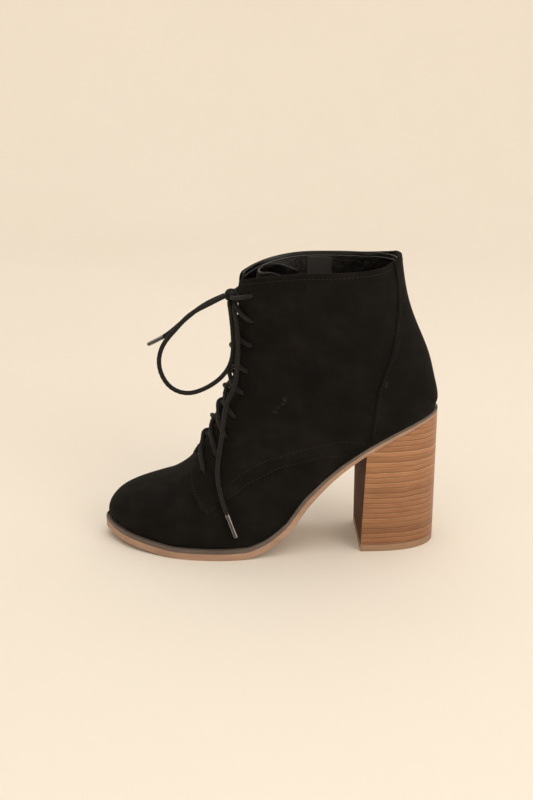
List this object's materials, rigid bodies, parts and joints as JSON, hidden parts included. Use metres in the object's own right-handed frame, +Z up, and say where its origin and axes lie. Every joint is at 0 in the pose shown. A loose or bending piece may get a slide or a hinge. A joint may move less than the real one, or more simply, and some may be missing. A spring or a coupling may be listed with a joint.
{
  "type": "lace-up boot",
  "caption": "Left lace-up ankle boot: hollow suede-look upper with open collar and laced throat, thin sole, stacked block heel and an inside zip with a swinging pull tab.",
  "frame": {"origin": "on the floor, under the middle of the boot's footprint", "axes": "+X to the toe, +Y to the outer (lateral) side, +Z up"},
  "size_m": [0.2366, 0.0905, 0.2073],
  "materials": {
    "suede": "black faux suede, matte nap",
    "lining": "black coated lining, glossy",
    "outsole": "tan moulded sole, satin",
    "welt": "taupe sole edge, satin",
    "heel_stack": "stacked leather look, satin",
    "top_lift": "brown heel tip, matte",
    "zip_tape": "black zip chain and tape",
    "zip_metal": "bright nickel",
    "lace": "black braided round lace",
    "aglet": "clear grey plastic"
  },
  "bodies": {
    "boot": {"outsole": "outsole", "welt": "welt", "heel_block": "heel_stack", "heel_top_lift": "top_lift", "insole": "lining", "upper": "suede", "tongue": "suede", "zip": "zip_tape", "zip_slider": "zip_metal", "lace_crossings": "lace", "lace_knot": "lace", "lace_loop_lateral": "lace", "lace_loop_medial": "lace", "lace_end_short": "lace", "lace_end_long": "lace", "aglet_short": "aglet", "aglet_long": "aglet"},
    "pull_tab": {"zip_pull_tab": "zip_metal"}
  },
  "joints": [
    {"name": "pull_tab_hinge", "type": "hinge", "parent": "boot", "child": "pull_tab", "pos_m": [-0.0367, -0.04163, 0.1943], "axis": [-1, 0, 0], "range_deg": [0, 150]}
  ]
}
